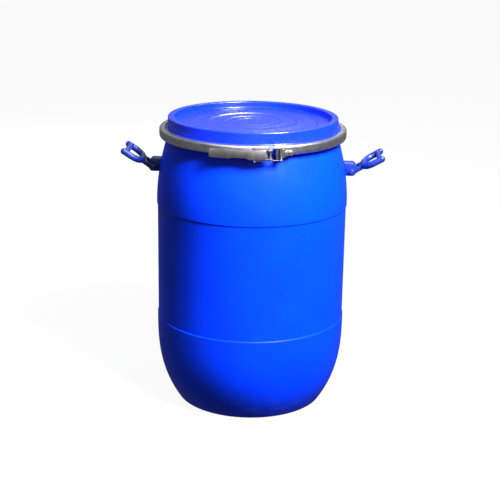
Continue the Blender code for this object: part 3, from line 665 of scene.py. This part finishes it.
def place_camera():
    data = bpy.data.cameras.new("camera")
    data.sensor_width = 36.0
    data.lens = CAMERA_LENS
    camera = bpy.data.objects.new("camera", data)
    bpy.context.scene.collection.objects.link(camera)
    a = math.radians(CAMERA_AZIMUTH)
    across, back = Vector((math.cos(a), math.sin(a), 0)), Vector((math.sin(a), -math.cos(a), 0))
    spot = back * CAMERA_DISTANCE + across * CAMERA_ASIDE + Vector((0, 0, CAMERA_HEIGHT))
    turn = (
        Matrix.Rotation(a, 4, "Z") @ Matrix.Rotation(math.radians(90 - CAMERA_PITCH), 4, "X")
        @ Matrix.Rotation(math.radians(CAMERA_ROLL), 4, "Z"))
    camera.matrix_world = Matrix.Translation(spot) @ turn
    bpy.context.scene.camera = camera


def lay_floor():
    """A plain pale sheet. It glows a little, as in a light tent, so shadows on it stay faint."""
    start_clean()
    bpy.ops.mesh.primitive_plane_add(size=80.0, location=(0, 0, 0))
    floor = named("floor")
    material, _, shader = new_material("Pale sheet", "404040", 1.0)
    shader.inputs["Specular IOR Level"].default_value = 0.0
    shader.inputs["Emission Color"].default_value = (1, 1, 1, 1)
    shader.inputs["Emission Strength"].default_value = 0.93
    floor.data.materials.append(material)
    floor.visible_glossy = False
    floor.visible_diffuse = False


def hang_light(name, azimuth, away, height, size, power):
    """A square soft box turned towards the drum. The azimuth is measured from the camera's side."""
    data = bpy.data.lights.new(name, "AREA")
    data.size = size
    data.energy = power
    light = bpy.data.objects.new(name, data)
    bpy.context.scene.collection.objects.link(light)
    a = math.radians(CAMERA_AZIMUTH + azimuth)
    light.location = (away * math.sin(a), -away * math.cos(a), height)
    light.rotation_euler = (Vector(light.location) - LIGHT_AIM).to_track_quat("Z", "Y").to_euler()
    return light


def light_studio():
    """A key from the front right and above; a lamp behind, a pale ceiling and a wall are only mirrored."""
    hang_light("key", azimuth=36, away=1.20, height=1.62, size=0.55, power=152)
    glint = hang_light("glint", azimuth=174, away=2.2, height=2.35, size=0.22, power=17)
    ceiling = hang_light("ceiling", azimuth=0, away=1.8, height=3.0, size=5.0, power=75)
    front = hang_light("front", azimuth=0, away=4.5, height=2.7, size=4.0, power=55)
    for light in (glint, ceiling, front):
        light.visible_diffuse = False
    back = hang_light("back_fill", azimuth=205, away=2.6, height=1.5, size=1.5, power=45)
    back.visible_glossy = False


def paint_surround():
    """A dim room: dark floor, greyer walls and a paler ceiling and back wall."""
    world = bpy.data.worlds.new("studio")
    bpy.context.scene.world = world
    world.use_nodes = True
    tree = world.node_tree
    direction = node(tree, "ShaderNodeTexCoord").outputs["Generated"]
    parts = node(tree, "ShaderNodeSeparateXYZ", {"Vector": direction})
    up = node(
        tree, "ShaderNodeValToRGB", {"Fac": parts.outputs["Z"]},
        stops=((0.0, grey(0.12)), (0.06, grey(0.16)), (0.45, grey(0.22)), (0.95, grey(0.45))))
    behind = node(
        tree, "ShaderNodeValToRGB", {"Fac": parts.outputs["Y"]},
        stops=((0.55, grey(0.0)), (0.90, grey(0.14))))
    above = node(
        tree, "ShaderNodeValToRGB", {"Fac": parts.outputs["Z"]},
        stops=((0.10, grey(0.0)), (0.32, grey(1.0)), (0.60, grey(0.3))))
    wall = node(
        tree, "ShaderNodeMixRGB", {"Color1": behind.outputs["Color"], "Color2": above.outputs["Color"]},
        Fac=1.0, blend_type="MULTIPLY")
    total = node(
        tree, "ShaderNodeMixRGB", {"Color1": up.outputs["Color"], "Color2": wall.outputs["Color"]},
        Fac=1.0, blend_type="ADD")
    seen = node(tree, "ShaderNodeLightPath").outputs["Is Camera Ray"]
    room = node(
        tree, "ShaderNodeMixRGB", {"Color1": total.outputs["Color"], "Fac": seen}, Color2=linear("FFFFFF"))
    tree.links.new(room.outputs["Color"], tree.nodes["Background"].inputs["Color"])


def set_colour():
    scene = bpy.context.scene
    scene.view_settings.view_transform = "Standard"
    scene.view_settings.look = "None"


def build():
    body = moulded_polyethylene()
    lid = lid_polyethylene()
    handle = handle_polyethylene()
    steel = rolled_steel()
    zinc = pressed_steel("Zinc plated pressed steel", "888588", "7E7B7E", 0.38)
    peened = pressed_steel("Peened rivet steel", "8A888A", "6A686A", 0.52)
    rubber = foam_rubber()
    fit(turned("drum_shell", drum_outline()), "drum", "drum_body", body)
    fit(turned("lid_moulding", lid_outline()), "lid", "lid", lid)
    fit(turned("gasket_cord", gasket_outline(), GASKET_STEPS), "lid", "lid_gasket", rubber)
    ring = part_turned("ring_band", ring_outline(), RING_GAP[1], 360 + RING_GAP[0], RING_STEPS)
    cut(ring, [drill(angle, RIVET_HOLE, RING_RADIUS, LATCH_Z) for angle in RIVET_ANGLES])
    fit(ring, "ring", "locking_ring", steel)
    for word, member in (("left", "handle_l"), ("right", "handle_r")):
        loop = moulded("handle_" + word, "handle_loop_" + word)
        fit(loop, member, "handle_" + word, handle)
        lug = edged("handle_lug_" + word, "lug_block_" + word, width=0.0012)
        fit(lug, "drum", "handle_lug_" + word, handle)
        pin = edged("handle_pin_" + word, "pivot_pin_" + word, width=0.0004)
        fit(pin, "drum", "handle_pin_" + word, handle)
    latch = (
        ("latch_base", "base_bracket", "ring"), ("latch_lever", "lever_channel", "lever"),
        ("lever_pin", "lever_axle", "ring"), ("latch_link", "link_frame", "link"),
        ("link_pin", "link_axle", "lever"), ("keeper", "keeper_hook", "ring"),
        ("latch_base_rivet_1", "base_rivet_1", "ring"), ("latch_base_rivet_2", "base_rivet_2", "ring"),
        ("keeper_rivet_1", "hook_rivet_1", "ring"), ("keeper_rivet_2", "hook_rivet_2", "ring"))
    for cad, name, member in latch:
        metal = peened if "rivet" in name else zinc
        fit(edged(cad, name, width=0.0003, segments=2), member, cad, metal)


place_camera()
lay_floor()
light_studio()
paint_surround()
set_colour()
build()
